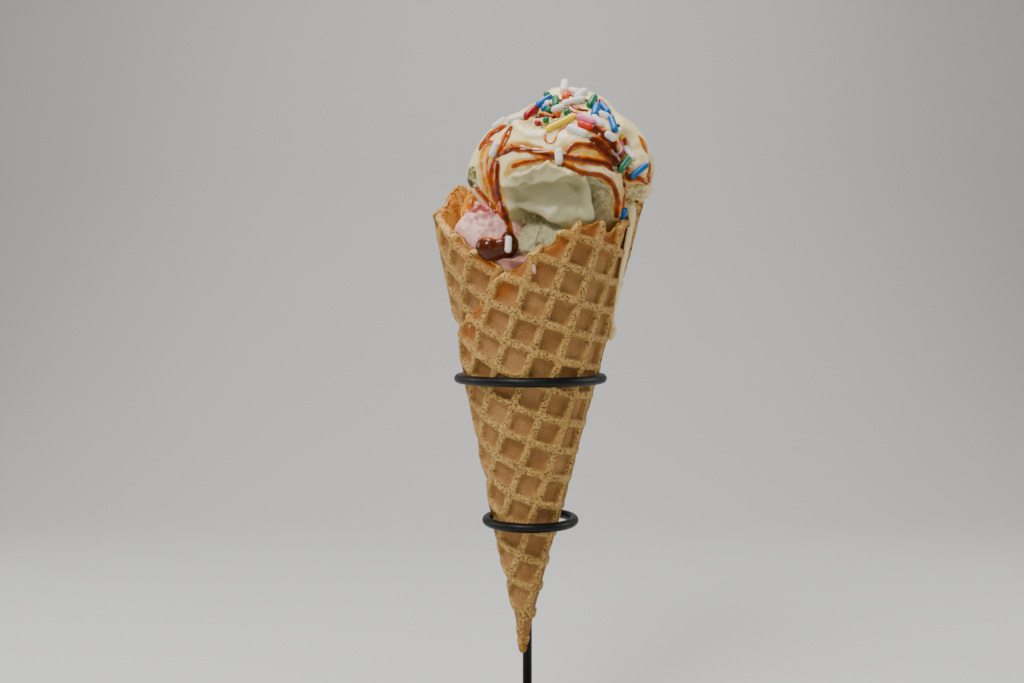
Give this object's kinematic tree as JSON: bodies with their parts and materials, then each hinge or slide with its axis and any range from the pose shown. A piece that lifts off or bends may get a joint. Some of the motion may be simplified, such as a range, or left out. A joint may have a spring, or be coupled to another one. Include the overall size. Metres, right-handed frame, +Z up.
{
  "type": "ice_cream_cone",
  "caption": "Rolled waffle cone with strawberry and vanilla ice cream, caramel sauce and sugar sprinkles, in a black wire stand with rings, a rod and a round base",
  "frame": {"origin": "Centre of the base plate's underside, on the floor", "axes": "+Z up along the rod, -Y the front where the outer flap of the waffle crosses, +X to the right seen from the front"},
  "size_m": [0.1, 0.1, 0.2283],
  "materials": {
    "waffle": "matte",
    "vanilla": "satin",
    "strawberry": "satin",
    "black_coat": "satin"
  },
  "bodies": {
    "root": {"waffle_cone": "waffle", "strawberry_scoop": "strawberry", "vanilla_scoop": "vanilla", "stand_ring_upper": "black_coat", "stand_ring_lower": "black_coat", "stand_rod": "black_coat", "stand_base": "black_coat"}
  },
  "joints": []
}
